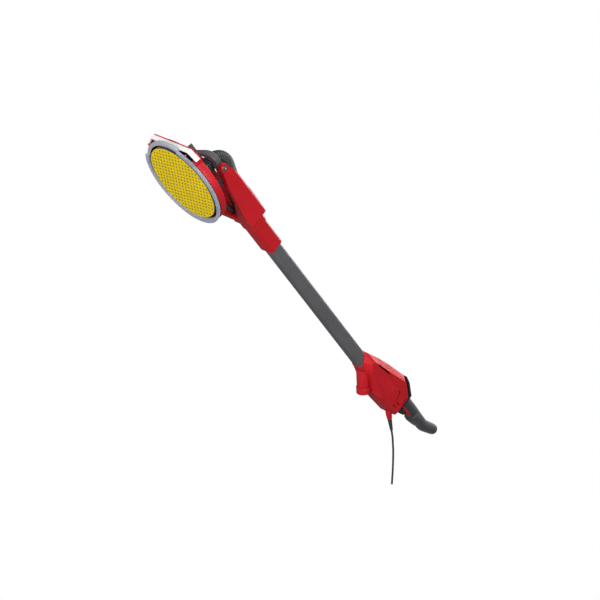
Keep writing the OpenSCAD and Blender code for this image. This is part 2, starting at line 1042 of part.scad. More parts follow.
// The grip's line: straight from the housing, then a bend away from the cord
module grip_path(r, end_r, top_z, tail) {
    lap = 2;
    union() {
        translate([0, grip_y, grip_bend_z - lap]) cylinder(r = r, h = top_z - grip_bend_z + lap);
        translate([0, grip_y + grip_bend_r, grip_bend_z])
            rotate([90, 0, 90]) rotate([0, 0, 180])
                rotate_extrude(angle = grip_bend) translate([grip_bend_r, 0]) circle(r = r - bend_step);
        translate([0, grip_y + grip_bend_r, grip_bend_z])
            rotate([grip_bend, 0, 0])
                translate([0, -grip_bend_r, lap]) rotate([180, 0, 0])
                    cylinder(r1 = r, r2 = end_r, h = tail + lap);
    }
}

module grip_core() {
    color("#3a3a3e")
    pole_frame()
    grip_path(10, 10, -1150, 40);
}

module grip_sleeve() {
    color("#3c3a3e")
    pole_frame()
    difference() {
        union() {
            grip_path(grip_r, 14.5, grip_root_z, 55);
            translate([0, 25, -1292]) cylinder(r1 = 17, r2 = 22.5, h = 36);
            translate([0, 25, -1256]) cylinder(r = 22.5, h = 8);
        }
        grip_path(10.05, 10.05, grip_root_z + 10, 40.1);
        translate([-14, -10, -1237]) cube([28, 31.5, 80]);
    }
}

// --- Cord ---

module cord_frame() {
    translate([cord_x, cord_y, cord_z]) rotate([180 - cord_angle, 0, 0]) children();
}

module cord_boot() {
    color("firebrick")
    pole_frame()
    cord_frame()
        difference() {
            union() {
                translate([0, 0, -16]) cylinder(r = 9, h = 16);
                cylinder(r1 = 9, r2 = 7.6, h = 16);
            }
            translate([0, 0, 6]) cylinder(r = 5.6, h = 30);
        }
}

module strain_relief() {
    color("#161618")
    pole_frame()
    cord_frame()
        difference() {
            union() {
                translate([0, 0, 6.1]) cylinder(r = 5.5, h = 10.2);
                translate([0, 0, 16.1]) cylinder(r1 = 6.9, r2 = 4.5, h = 42);
            }
            translate([0, 0, 10]) cylinder(r = 3.7, h = 60);
        }
}

// The cord hangs in one long bend
module power_cord() {
    cord_r = 3;
    hang_r = 631.6;
    hang_start = 25;
    hang_turn = 18.2;
    hang_y = -627.6;
    hang_z = -930.1;
    color("#161618")
    pole_frame()
    translate([cord_x, hang_y, hang_z])
        rotate([90, 0, 90])
            rotate([0, 0, -hang_start - hang_turn])
                rotate_extrude(angle = hang_turn, $fn = 360)
                    translate([hang_r, 0]) circle(r = cord_r, $fn = 24);
}

head_cover();
head_bracket();
gearbox_housing();
gearbox_lid();
head_bearings();
hose_boot();
cover_screws();
ring_springs();
spindle();
crown_gear();
pad_plate();
backing_pad();
hook_layer();
abrasive_disc();
pad_screw();
head_pinion();
brush_ring();
brush_bristles();
front_segment();
segment_lip();
gimbal_frame();
gimbal_bushes();
head_pivot_pins();
dust_hose();
flex_drive();
fork_left();
fork_right();
fork_screws();
pivot_screws();
neck_sleeve();
main_tube();
drive_casing();
shaft_bushes();
drive_shaft();
drive_gear();
housing_left();
housing_right();
rear_frame();
gear_case();
stator();
rotor_shaft();
armature();
commutator();
cooling_fan();
motor_bearings();
brush_holders();
carbon_brushes();
speed_electronics();
dust_duct();
dust_collar();
speed_dial();
switch_body();
switch_rocker();
switch_pin();
housing_screws();
grip_core();
grip_sleeve();
cord_boot();
strain_relief();
power_cord();
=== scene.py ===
"""Looks of the pole drywall sander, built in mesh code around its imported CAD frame."""
import json
import math
import random

import bmesh
import bpy
import numpy as np
from mathutils import Matrix, Vector
from mathutils.geometry import delaunay_2d_cdt


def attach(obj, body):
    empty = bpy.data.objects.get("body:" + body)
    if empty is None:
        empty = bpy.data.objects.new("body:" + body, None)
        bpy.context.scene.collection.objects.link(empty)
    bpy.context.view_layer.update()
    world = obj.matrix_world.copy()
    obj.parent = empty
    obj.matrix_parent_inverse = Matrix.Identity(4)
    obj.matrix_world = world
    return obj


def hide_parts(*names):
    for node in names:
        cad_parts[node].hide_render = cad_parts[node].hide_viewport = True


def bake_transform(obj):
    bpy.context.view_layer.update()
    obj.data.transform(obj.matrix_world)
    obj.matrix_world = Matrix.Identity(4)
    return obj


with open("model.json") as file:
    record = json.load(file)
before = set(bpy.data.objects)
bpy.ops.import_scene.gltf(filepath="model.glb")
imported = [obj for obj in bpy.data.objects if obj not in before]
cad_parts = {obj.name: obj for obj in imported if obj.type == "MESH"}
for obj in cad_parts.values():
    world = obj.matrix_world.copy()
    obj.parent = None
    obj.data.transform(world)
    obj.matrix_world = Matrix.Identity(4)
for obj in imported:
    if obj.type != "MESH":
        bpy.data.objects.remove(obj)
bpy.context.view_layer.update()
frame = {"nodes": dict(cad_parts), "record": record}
random.seed(7)

MM = 0.001
TAU = 2 * math.pi

# The head's own frame: x across, v towards the front, n towards the working face
TILT = math.radians(10.7)
HEAD = np.array(
    [
        [1, 0, 0],
        [0, math.sin(TILT), -math.cos(TILT)],
        [0, math.cos(TILT), math.sin(TILT)],
    ]
)

# The gimbal's centre, in mm of the row frame; every outline below is drawn from it
FACE_DROP = 91
GIMBAL = -HEAD @ np.array([0, 0, FACE_DROP])


def from_gimbal(x, y, z):
    """A point given in mm from the gimbal's centre, in metres of the row frame."""
    return tuple((np.array([x, y, z]) + GIMBAL) * MM)


# ---------------------------------------------------------------- materials


class Shader:
    """A small helper that builds one procedural material."""

    # A mix node's sockets by number, because its float, vector and colour sockets share their names
    FACTOR, COLOUR_A, COLOUR_B, MIXED = 0, 6, 7, 2

    def __init__(self, name):
        self.material = bpy.data.materials.new(name)
        self.material.use_nodes = True
        self.tree = self.material.node_tree
        self.tree.nodes.clear()
        self.out = self.tree.nodes.new("ShaderNodeOutputMaterial")
        self.surface = self.tree.nodes.new("ShaderNodeBsdfPrincipled")
        self.link(self.surface, "BSDF", self.out, "Surface")
        self.coord = self.tree.nodes.new("ShaderNodeTexCoord")

    def link(self, a, a_out, b, b_in):
        self.tree.links.new(a.outputs[a_out], b.inputs[b_in])

    def arithmetic(self, operation):
        made = self.tree.nodes.new("ShaderNodeMath")
        made.operation = operation
        return made

    def noise(self, scale, detail=3.0, rough=0.55, stretch=(1, 1, 1)):
        mapping = self.tree.nodes.new("ShaderNodeMapping")
        mapping.inputs["Scale"].default_value = stretch
        self.link(self.coord, "Object", mapping, "Vector")
        made = self.tree.nodes.new("ShaderNodeTexNoise")
        made.inputs["Scale"].default_value = scale
        made.inputs["Detail"].default_value = detail
        made.inputs["Roughness"].default_value = rough
        self.link(mapping, "Vector", made, "Vector")
        return made

    def span(self, source, output, low, high, to_low, to_high):
        made = self.tree.nodes.new("ShaderNodeMapRange")
        made.inputs["From Min"].default_value = low
        made.inputs["From Max"].default_value = high
        made.inputs["To Min"].default_value = to_low
        made.inputs["To Max"].default_value = to_high
        self.link(source, output, made, "Value")
        return made

    def mix(self, factor, factor_out, a, b):
        """Mixes a and b, each of them a colour or an earlier mix."""
        made = self.tree.nodes.new("ShaderNodeMix")
        made.data_type = "RGBA"
        self.link(factor, factor_out, made, self.FACTOR)
        for socket, value in ((self.COLOUR_A, a), (self.COLOUR_B, b)):
            if isinstance(value, tuple):
                made.inputs[socket].default_value = (*value, 1)
            else:
                self.link(value, self.MIXED, made, socket)
        return made

    def bump(self, source, output, strength, distance, after=None):
        made = self.tree.nodes.new("ShaderNodeBump")
        made.inputs["Strength"].default_value = strength
        made.inputs["Distance"].default_value = distance
        self.link(source, output, made, "Height")
        if after is not None:
            self.link(after, "Normal", made, "Normal")
        return made

    def finish(self, colour, relief):
        """Joins the colour and the relief to the surface and returns the material."""
        self.link(colour, self.MIXED, self.surface, "Base Color")
        self.link(relief, "Normal", self.surface, "Normal")
        return self.material

    def settings(self, **values):
        """Sets the surface's inputs, named in lower case with underscores."""
        names = {name.lower().replace(" ", "_"): name for name in self.surface.inputs.keys()}
        for key, value in values.items():
            self.surface.inputs[names[key]].default_value = value


def shade(rgb, factor):
    return tuple(min(1.0, c * factor) for c in rgb)


DUST_COLOUR = (0.62, 0.60, 0.57)


def finish_material(
    name,
    rgb,
    rough,
    metallic=0.0,
    drift=0.10,
    drift_scale=14,
    grain=1800,
    grain_depth=0.00012,
    rough_spread=0.08,
    edge=1.5,
    stretch=(1, 1, 1),
    sheen=0.0,
    dust=0.0,
    specular=0.5,
):
    """A moulded, cast or machined finish: colour drift, grain, uneven gloss, and paler edges that are a
    painted highlight along with some wear.
    """
    s = Shader(name)
    broad = s.noise(drift_scale, 4.0)
    fine = s.noise(grain, 2.0, stretch=stretch)
    body = s.mix(
        s.span(broad, "Fac", 0.3, 0.7, 0, 1), "Result", shade(rgb, 1 - drift), shade(rgb, 1 + drift)
    )
    mottled = s.mix(
        s.span(fine, "Fac", 0.35, 0.65, 0, 0.35), "Result", body, shade(rgb, 1 - 1.6 * drift)
    )
    # Paler colour where the mesh is pointy: a painted highlight along the edges, with some wear; edge
    # sets how pale it gets
    geometry = s.tree.nodes.new("ShaderNodeNewGeometry")
    edge_highlight_and_wear = s.span(geometry, "Pointiness", 0.51, 0.60, 0.0, 0.55)
    edge_patchiness = s.noise(90, 5.0)
    patchy = s.arithmetic("MULTIPLY")
    s.link(edge_highlight_and_wear, "Result", patchy, 0)
    s.link(s.span(edge_patchiness, "Fac", 0.35, 0.6, 0.3, 1.0), "Result", patchy, 1)
    colour = s.mix(patchy, "Value", mottled, shade(rgb, edge))
    if dust:
        settled = s.span(s.noise(45, 6.0), "Fac", 0.48, 0.72, 0.0, dust)
        colour = s.mix(settled, "Result", colour, DUST_COLOUR)
    gloss = s.span(s.noise(60, 4.0), "Fac", 0.3, 0.7, rough - rough_spread, rough + rough_spread)
    s.link(gloss, "Result", s.surface, "Roughness")
    s.settings(metallic=metallic, sheen_weight=sheen, specular_ior_level=specular)
    return s.finish(colour, s.bump(fine, "Fac", 0.5, grain_depth))


# Length of the tube's weave, in metres
WEAVE_PITCH = 0.0075


def carbon_material():
    """A clear-coated twill: two crossed sets of tows run diagonally along the tube and alternate."""
    s = Shader("tube_weave")
    parts = s.tree.nodes.new("ShaderNodeSeparateXYZ")
    s.link(s.coord, "Object", parts, "Vector")
    girth = s.arithmetic("ADD")
    s.link(parts, "X", girth, 0)
    s.link(parts, "Y", girth, 1)
    waves = []
    for sign in (1, -1):
        slope = s.arithmetic("MULTIPLY_ADD")
        s.link(girth, "Value", slope, 0)
        slope.inputs[1].default_value = sign
        s.link(parts, "Z", slope, 2)
        turn = s.arithmetic("MULTIPLY")
        s.link(slope, "Value", turn, 0)
        turn.inputs[1].default_value = TAU / WEAVE_PITCH
        wave = s.arithmetic("SINE")
        s.link(turn, "Value", wave, 0)
        waves.append(wave)
    over = s.arithmetic("MULTIPLY")
    s.link(waves[0], "Value", over, 0)
    s.link(waves[1], "Value", over, 1)
    strands = s.noise(900, 2.0, stretch=(1, 1, 0.15))
    blended = s.arithmetic("MULTIPLY_ADD")
    s.link(strands, "Fac", blended, 0)
    blended.inputs[1].default_value = 0.8
    s.link(over, "Value", blended, 2)
    level = s.span(blended, "Value", -0.6, 1.4, 0, 1)
    colour = s.mix(level, "Result", (0.085, 0.087, 0.096), (0.225, 0.225, 0.240))
    clouded = s.span(s.noise(9, 3.0), "Fac", 0.35, 0.65, 0, 0.25)
    colour = s.mix(clouded, "Result", colour, (0.07, 0.07, 0.078))
    gloss = s.span(over, "Value", -1, 1, 0.34, 0.5)
    s.link(gloss, "Result", s.surface, "Roughness")
    s.settings(metallic=0.35, coat_weight=0.35, coat_roughness=0.22)
    return s.finish(colour, s.bump(level, "Result", 0.3, 0.00012))


def abrasive_material():
    """Yellow grit on a backing: grains of two sizes, uneven colour and a slightly loaded surface."""
    s = Shader("abrasive_grit")
    grains = s.tree.nodes.new("ShaderNodeTexVoronoi")
    grains.inputs["Scale"].default_value = 1400
    s.link(s.coord, "Object", grains, "Vector")
    fine = s.noise(2600, 3.0)
    broad = s.noise(22, 5.0)
    base = s.mix(
        s.span(broad, "Fac", 0.3, 0.7, 0, 1), "Result", (0.74, 0.53, 0.003), (0.84, 0.61, 0.006)
    )
    specks = s.mix(
        s.span(grains, "Distance", 0.0, 0.55, 0.35, 0.0), "Result", base, (0.88, 0.72, 0.05)
    )
    loaded = s.mix(s.span(fine, "Fac", 0.5, 0.7, 0, 0.4), "Result", specks, (0.40, 0.26, 0.004))
    s.settings(roughness=0.9, specular_ior_level=0.1)
    coarse = s.bump(grains, "Distance", 0.6, 0.0004)
    return s.finish(loaded, s.bump(fine, "Fac", 0.4, 0.0002, coarse))


def bristle_material():
    """Grey nylon filaments that differ a little from tuft to tuft."""
    s = Shader("brush_filament")
    tuft = s.noise(420, 2.0)
    broad = s.noise(30, 3.0)
    base = s.mix(
        s.span(tuft, "Fac", 0.32, 0.68, 0, 1), "Result", (0.20, 0.22, 0.26), (0.50, 0.53, 0.61)
    )
    tinted = s.mix(s.span(broad, "Fac", 0.35, 0.65, 0, 0.4), "Result", base, (0.30, 0.33, 0.40))
    s.settings(roughness=0.5, sheen_weight=0.3)
    return s.finish(tinted, s.bump(tuft, "Fac", 0.4, 0.0004))


RED = (0.50, 0.011, 0.018)
# One finish for each material slot of the imported record
# Each finish's edge value sets its painted edge highlight, which also stands for some wear
MATERIALS = {
    "red_moulding": finish_material("red_plastic", RED, 0.36, edge=1.5, drift=0.05, specular=0.3),
    "white_moulding": finish_material("white_plastic", (0.80, 0.80, 0.80), 0.42, drift=0.02, edge=1.1),
    "grey_moulding": finish_material("grey_plastic", (0.36, 0.375, 0.42), 0.5, drift=0.05),
    "black_plastic": finish_material(
        "black_plastic", (0.022, 0.022, 0.025), 0.45, edge=2.6, grain_depth=0.0002
    ),
    "black_rubber": finish_material("black_rubber", (0.032, 0.032, 0.035), 0.5, edge=2.2, dust=0.03),
    "grip_rubber": finish_material(
        "grip_rubber", (0.040, 0.037, 0.043), 0.55, edge=2.0, grain=700, grain_depth=0.0005, sheen=0.25
    ),
    "cast_grey": finish_material(
        "grey_casting", (0.105, 0.108, 0.118), 0.42, metallic=0.25,
        grain=420, grain_depth=0.0003, edge=1.8,
    ),
    "cast_metal": finish_material(
        "bare_casting", (0.52, 0.52, 0.53), 0.38, metallic=0.9,
        grain=350, grain_depth=0.0003, edge=1.25,
    ),
    "steel": finish_material(
        "turned_steel", (0.58, 0.58, 0.60), 0.26, metallic=1.0, grain=500, stretch=(1, 1, 0.1), edge=1.2
    ),
    "brass": finish_material("gear_brass", (0.68, 0.47, 0.17), 0.3, metallic=1.0, grain=600, edge=1.2),
    "copper_winding": finish_material(
        "copper_wire", (0.50, 0.20, 0.07), 0.32, metallic=0.85,
        grain=900, stretch=(1, 1, 0.05), grain_depth=0.0006,
    ),
    "foam": finish_material(
        "pad_foam", (0.030, 0.030, 0.034), 0.85, grain=520, grain_depth=0.0009, edge=1.6, sheen=0.15
    ),
    "hook_fabric": finish_material(
        "hook_pile", (0.030, 0.030, 0.033), 0.9, grain=1300, grain_depth=0.0008, sheen=0.6, edge=1.8
    ),
    "nylon": finish_material("natural_nylon", (0.66, 0.62, 0.50), 0.45, drift=0.05, edge=1.15),
    "board": finish_material("circuit_board", (0.02, 0.14, 0.04), 0.4, grain=240, grain_depth=0.0006),
    "carbon": finish_material("pressed_carbon", (0.035, 0.035, 0.035), 0.6, grain=900),
    "tube_carbon": carbon_material(),
    "abrasive": abrasive_material(),
    "bristle": bristle_material(),
}
SLOT_OF = {
    part["node"]: part["material_slot"] for part in frame["record"]["subparts"]
}

# ---------------------------------------------------------------- mesh helpers


def new_object(name, verts_mm, faces):
    """A mesh object whose points are given in mm from the gimbal's centre."""
    mesh = bpy.data.meshes.new(name)
    places = (np.asarray(verts_mm, float) + GIMBAL) * MM
    mesh.from_pydata([tuple(p) for p in places], [], [tuple(f) for f in faces])
    mesh.validate()
    made = bpy.data.objects.new(name, mesh)
    bpy.context.scene.collection.objects.link(made)
    work = bmesh.new()
    work.from_mesh(mesh)
    bmesh.ops.recalc_face_normals(work, faces=work.faces)
    work.to_mesh(mesh)
    work.free()
    return made


def soften(obj, angle):
    """Smooth shading that keeps edges sharper than the angle."""
    obj.data.shade_smooth()
    obj.data.set_sharp_from_angle(angle=math.radians(angle))


def dress(obj, slot, body=None, replaces=(), angle=35):
    """Gives a new piece its material, its shading, its body and the CAD nodes it stands for."""
    obj.data.materials.clear()
    obj.data.materials.append(MATERIALS[slot])
    soften(obj, angle)
    if body:
        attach(obj, body)
    if replaces:
        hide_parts(*replaces)
    return obj


def bevel(obj, width_mm, segments=3, angle=28):
    """Rounds the edges that are sharper than the angle."""
    made = obj.modifiers.new("edge", "BEVEL")
    made.width = width_mm * MM
    made.segments = segments
    made.limit_method = "ANGLE"
    made.angle_limit = math.radians(angle)
    made.harden_normals = True
    made.use_clamp_overlap = True


# Vertices closer than this (mm) are one vertex, and faces flatter than this are one face
WELD_REACH = 0.01
FLAT_LIMIT = math.radians(0.4)


def weld_cad(obj):
    """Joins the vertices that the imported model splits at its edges."""
    weld = obj.modifiers.new("weld", "WELD")
    weld.merge_threshold = WELD_REACH * MM


def flatten_cad(obj):
    """Drops the edges inside the flat faces, so that a bevel meets only real edges."""
    flat = obj.modifiers.new("flat", "DECIMATE")
    flat.decimate_type = "DISSOLVE"
    flat.angle_limit = FLAT_LIMIT


def cutter(name, verts_mm, faces):
    """A hidden piece that another piece is cut with."""
    made = new_object(name, verts_mm, faces)
    made.hide_render = True
    made.hide_viewport = True
    made.display_type = "WIRE"
    return made


def cut(obj, tool):
    """Takes the tool's shape out of the piece."""
    made = obj.modifiers.new("cut", "BOOLEAN")
    made.operation = "DIFFERENCE"
    made.solver = "MANIFOLD"
    made.object = tool


def prism(outline, low, high):
    """A closed prism over an outline in the (y, z) plane, from x = low to x = high."""
    count = len(outline)
    verts = [(x, y, z) for x in (low, high) for y, z in outline]
    faces = [tuple(range(count))[::-1], tuple(range(count, 2 * count))]
    for i in range(count):
        j = (i + 1) % count
        faces.append((i, j, count + j, count + i))
    return verts, faces


def merge(parts):
    """Joins (verts, faces) pairs into one pair."""
    verts, faces = [], []
    for part_verts, part_faces in parts:
        start = len(verts)
        verts.extend(tuple(p) for p in part_verts)
        faces.extend(tuple(i + start for i in face) for face in part_faces)
    return verts, faces


def sweep(path, radii, sides=40, inner=None):
    """A round section along a path in the pole's plane. With inner, a hollow wall of that thickness."""
    path = np.asarray(path, float)
    tangent = np.gradient(path, axis=0)
    tangent /= np.linalg.norm(tangent, axis=1)[:, None]
    across = np.array([1.0, 0, 0])
    up = np.cross(tangent, across)
    angle = np.linspace(0, TAU, sides, endpoint=False)
    rings = []

    def ring_points(grow):
        for centre, lift, radius in zip(path, up, radii):
            r = radius + grow
            rings.append(
                centre
                + np.outer(np.cos(angle) * r, across)
                + np.outer(np.sin(angle) * r, lift)
            )

    ring_points(0)
    count = len(path)
    faces = []

    def skin(start, flip):
        for i in range(count - 1):
            a, b = start + i * sides, start + (i + 1) * sides
            for k in range(sides):
                m = (k + 1) % sides
                quad = (a + k, a + m, b + m, b + k)
                faces.append(quad[::-1] if flip else quad)

    skin(0, False)
    if inner is None:
        faces.append(tuple(range(sides))[::-1])
        last = (count - 1) * sides
        faces.append(tuple(range(last, last + sides)))
    else:
        ring_points(-inner)
        base = count * sides
        skin(base, True)
        for end in (0, count - 1):
            a, b = end * sides, base + end * sides
            for k in range(sides):
                m = (k + 1) % sides
                faces.append((a + k, b + k, b + m, a + m))
    return np.concatenate(rings), faces


def revolve(profile, steps, start=0.0, end=360.0):
    """A closed (r, z) profile turned about z. A part turn gets end faces."""
    full = end - start >= 360
    angles = np.radians(np.linspace(start, end, steps, endpoint=not full))
    count = len(profile)
    verts = [(r * math.cos(a), r * math.sin(a), z) for a in angles for r, z in profile]
    faces = []
    turns = steps if full else steps - 1
    for i in range(turns):
        j = (i + 1) % steps
        for k in range(count):
            m = (k + 1) % count
            faces.append((i * count + k, j * count + k, j * count + m, i * count + m))
    if not full:
        faces.append(tuple(range(count)))
        last = (steps - 1) * count
        faces.append(tuple(range(last, last + count))[::-1])
    return verts, faces


def to_head(verts):
    """Turns points of the head's own frame into the row frame."""
    return np.asarray(verts, float) @ HEAD.T


def moved(verts, offset):
    return np.asarray(verts, float) + np.asarray(offset, float)


def arc_points(centre, radius, start, end, step):
    """Points on an arc in the pole's plane; angles in degrees from +Y towards +Z."""
    count = max(2, int(abs(math.radians(end - start)) * radius / step) + 1)
    angles = np.radians(np.linspace(start, end, count))
    return [(0, centre[0] + radius * math.cos(a), centre[1] + radius * math.sin(a)) for a in angles]


def resample(points, step):
    """Even steps along a polyline: the points, and each point's distance from the start."""
    points = np.asarray(points, float)
    lengths = np.linalg.norm(np.diff(points, axis=0), axis=1)
    run = np.concatenate([[0], np.cumsum(lengths)])
    stations = np.linspace(0, run[-1], max(3, int(run[-1] / step) + 1))
    return np.stack([np.interp(stations, run, points[:, k]) for k in range(3)], axis=1), stations


def smooth_curve(points, per_span=14):
    """A Catmull-Rom curve through the points."""
    pts = np.asarray(points, float)
    pts = np.vstack([2 * pts[0] - pts[1], pts, 2 * pts[-1] - pts[-2]])
    out = []
    for i in range(1, len(pts) - 2):
        p0, p1, p2, p3 = pts[i - 1 : i + 3]
        linear, square = p2 - p0, 2 * p0 - 5 * p1 + 4 * p2 - p3
        cubic = 3 * p1 - p0 - 3 * p2 + p3
        for t in np.linspace(0, 1, per_span, endpoint=False):
            out.append(0.5 * (2 * p1 + linear * t + square * t**2 + cubic * t**3))
    out.append(pts[-2])
    return np.array(out)


# ---------------------------------------------------------------- CAD nodes that stay

# Edge radius in mm for the CAD nodes that are shown as they are
EDGES = {
    "head_cover": 0.9, "head_bracket": 0.8, "gearbox_housing": 0.8, "gearbox_lid": 0.6,
    "head_bearings": 0.2, "cover_screws": 0.4, "ring_springs": 0.15, "spindle": 0.3,
    "crown_gear": 0.15, "pad_plate": 0.5, "pad_screw": 0.4, "head_pinion": 0.15,
    "brush_ring": 0.4, "front_segment": 0.8, "segment_lip": 0.7, "gimbal_frame": 1.6,
    "gimbal_bushes": 0.3, "head_pivot_pins": 0.7, "fork_left": 4.5, "fork_right": 4.5,
    "fork_screws": 0.4, "pivot_screws": 0.7, "neck_sleeve": 3.5, "main_tube": 0.0,
    "drive_casing": 0.1, "shaft_bushes": 0.2, "drive_shaft": 0.3, "drive_gear": 0.1,
    "housing_left": 1.8, "housing_right": 1.8, "rear_frame": 1.2, "gear_case": 0.6,
    "stator": 1.0, "rotor_shaft": 0.1, "armature": 0.6, "commutator": 0.3,
    "cooling_fan": 0.2, "motor_bearings": 0.2, "brush_holders": 0.3, "carbon_brushes": 0.2,
    "speed_electronics": 0.6, "dust_duct": 0.4, "dust_collar": 0.8, "speed_dial": 0.5,
    "switch_body": 0.2, "switch_rocker": 0.9, "switch_pin": 0.2, "housing_screws": 0.4,
    "grip_core": 0.0, "cord_boot": 0.5,
}
for node, width in EDGES.items():
    piece = frame["nodes"][node]
    piece.data.materials.clear()
    piece.data.materials.append(MATERIALS[SLOT_OF[node]])
    weld_cad(piece)

# ---------------------------------------------------------------- head

PERFORATION_PITCH = 13.2
PERFORATION_R = 2.9
PERFORATION_TURN = math.radians(8)
# No hole comes nearer to the disc's edge than this
PERFORATION_MARGIN = 4
DISC_R = 110.6
DISC_LOW, DISC_HIGH = 89.6, 91.0
DISC_STEPS = 144
PAD_BORE_R = 14


def perforated_disc():
    """The disc's two faces with their holes, the holes' walls and the rim."""
    points, edges, loop_of = [], [], []

    def loop(radius, cx, cy, count):
        first = len(points)
        for i in range(count):
            a = TAU * i / count
            points.append(Vector((cx + radius * math.cos(a), cy + radius * math.sin(a))))
            edges.append((first + i, first + (i + 1) % count))
            loop_of.append(first)
        return list(range(first, first + count))

    loops = [loop(DISC_R, 0, 0, DISC_STEPS)]
    row_step = PERFORATION_PITCH * math.sqrt(3) / 2
    rows = int(DISC_R / row_step) + 1
    for j in range(-rows, rows + 1):
        for i in range(-rows - 2, rows + 3):
            hole = Vector(((i + 0.5 * (j % 2)) * PERFORATION_PITCH, j * row_step))
            if hole.length < DISC_R - PERFORATION_MARGIN:
                hole.rotate(Matrix.Rotation(PERFORATION_TURN, 2))
                loops.append(loop(PERFORATION_R, hole.x, hole.y, 10))
    triangles = delaunay_2d_cdt(points, edges, [], 0, 1e-9)[2]
    kept = []
    for t in triangles:
        owners = {loop_of[i] for i in t}
        if len(owners) > 1 or owners == {0}:
            kept.append(tuple(t))
    count = len(points)
    verts = [(p.x, p.y, DISC_HIGH) for p in points] + [(p.x, p.y, DISC_LOW) for p in points]
    faces = kept + [tuple(i + count for i in t)[::-1] for t in kept]
    for ring in loops:
        for i, a in enumerate(ring):
            b = ring[(i + 1) % len(ring)]
            faces.append((a, b, b + count, a + count))
    return verts, faces, 2 * len(kept) + len(loops[0])


verts, faces, first_hole_wall = perforated_disc()
disc = dress(new_object("perforated_disc", to_head(verts), faces), "abrasive", "pad", ["abrasive_disc"])
# The holes' walls are as dark as the pad behind them
disc.data.materials.append(MATERIALS["hook_fabric"])
for face in disc.data.polygons[first_hole_wall:]:
    face.material_index = 1

# Foam pad: crowned sides with a moulded seam
foam_low, foam_high = 78.0, 87.6
foam_profile = [(PAD_BORE_R, foam_low), (109, foam_low), (110.6, foam_low + 0.8), (111, foam_low + 3.6)]
foam_profile += [(110.2, foam_low + 4.4), (110.2, foam_low + 5.0), (111, foam_low + 5.8)]
foam_profile += [(110.8, foam_high - 1.0), (109.8, foam_high), (PAD_BORE_R, foam_high)]
verts, faces = revolve(foam_profile, DISC_STEPS)
dress(new_object("foam_pad", to_head(verts), faces), "foam", "pad", ["backing_pad"])

hook_profile = [(PAD_BORE_R, foam_high), (110.8, foam_high), (111.5, 88.1), (111.5, 89.0)]
hook_profile += [(111.0, DISC_LOW), (PAD_BORE_R, DISC_LOW)]
verts, faces = revolve(hook_profile, DISC_STEPS)
dress(new_object("hook_face", to_head(verts), faces), "hook_fabric", "pad", ["hook_layer"])

# The brush: rows of tufts round a dense core, with a gap for the front segment
BARE_START, BARE_END = 70.0, 150.0
BRUSH_ROOT, BRUSH_TIP = 86.35, 93


def tuft(angle, base_r, base_z, tip_r, tip_z, width, depth):
    """One tapered bundle of filaments that leans outwards."""
    radial = np.array([math.cos(angle), math.sin(angle), 0])
    side = np.array([-math.sin(angle), math.cos(angle), 0])
    lean = random.uniform(-0.5, 0.5)
    base = radial * base_r + np.array([0, 0, base_z])
    middle = radial * (base_r * 0.45 + tip_r * 0.55) + side * lean * 0.4
    middle = middle + np.array([0, 0, base_z * 0.45 + tip_z * 0.55])
    tip = radial * tip_r + side * lean + np.array([0, 0, tip_z])
    verts = []
    for centre, scale in ((base, 1.0), (middle, 0.95), (tip, 0.6)):
        for a, b in ((-1, -1), (1, -1), (1, 1), (-1, 1)):
            verts.append(centre + side * a * width * scale / 2 + radial * b * depth * scale / 2)
    faces = [(3, 2, 1, 0), (8, 9, 10, 11)]
    for level in (0, 4):
        for k in range(4):
            m = (k + 1) % 4
            faces.append((level + k, level + m, level + 4 + m, level + 4 + k))
    return verts, faces


def brush_mesh():
    """The dense core and five rows of tufts, from one end of the gap round to the other."""
    start, end = math.radians(BARE_END + 0.6), math.radians(360 + BARE_START - 0.6)
    core = revolve(
        [(119.3, BRUSH_ROOT), (127.0, BRUSH_ROOT), (128.6, 91.6), (121.6, 91.6)],
        220, math.degrees(start), math.degrees(end),
    )
    parts = [core]
    rows = [(119.6, 121.4), (121.5, 123.4), (123.4, 125.4), (125.3, 127.4), (127.2, 129.3)]
    for number, (base_r, tip_r) in enumerate(rows):
        count = int((end - start) * base_r / 1.5)
        for i in range(count):
            angle = start + (end - start) * (i + 0.5 * (number % 2) + 0.25) / count
            length = random.uniform(-0.8, 0.0)
            tip = tip_r + random.uniform(-0.25, 0.25)
            parts.append(tuft(angle, base_r, BRUSH_ROOT, tip, BRUSH_TIP + length, 1.2, 1.5))
    return merge(parts)


verts, faces = brush_mesh()
dress(
    new_object("brush_tufts", to_head(verts), faces), "bristle", "brush", ["brush_bristles"], angle=60
)

# Rubber boot where the hose meets the cover, with two folds
BOOT_V = -13
boot_profile = [
    (23.5, 28), (23.5, 16.4), (24.2, 16), (25.6, 16), (26, 16.6), (26, 19.4),
    (25.0, 20.6), (25.0, 22.0), (26, 23.2), (26, 25.6), (25.2, 26.8), (25.2, 27.8),
    (25.9, 28.8), (25.9, 29.8), (18.8, 29.8), (18.8, 33), (15.5, 33), (15.5, 28),
]
verts, faces = revolve(boot_profile, 72)
cuff = new_object("hose_cuff", to_head(moved(verts, (0, BOOT_V, 0))), faces)
dress(cuff, "black_rubber", "head", ["hose_boot"])

# The ribbed hose: out of the boot, round the back of the gimbal and down into the neck
HOSE_R = 21.0
HOSE_PITCH = 5.6
hose_line = [(0, y, -11) for y in np.linspace(-22, 4, 20)]
hose_line += arc_points((4, -47), 36, 90, -17, 1.5)[1:]
hose_dir = np.array([0, math.sin(math.radians(-17)), -math.cos(math.radians(-17))])
hose_line += [tuple(np.array(hose_line[-1]) + hose_dir * s) for s in np.linspace(2, 126, 60)]
path, stations = resample(hose_line, HOSE_PITCH / 8)
phase = (stations / HOSE_PITCH) % 1.0
fold = np.clip(0.5 - 0.62 * np.cos(TAU * phase), 0, 1) ** 0.7
verts, faces = sweep(path, HOSE_R - 2.6 + 2.5 * fold, sides=44, inner=1.2)
hose = dress(new_object("ribbed_hose", verts, faces), "black_rubber", None, ["dust_hose"], angle=70)

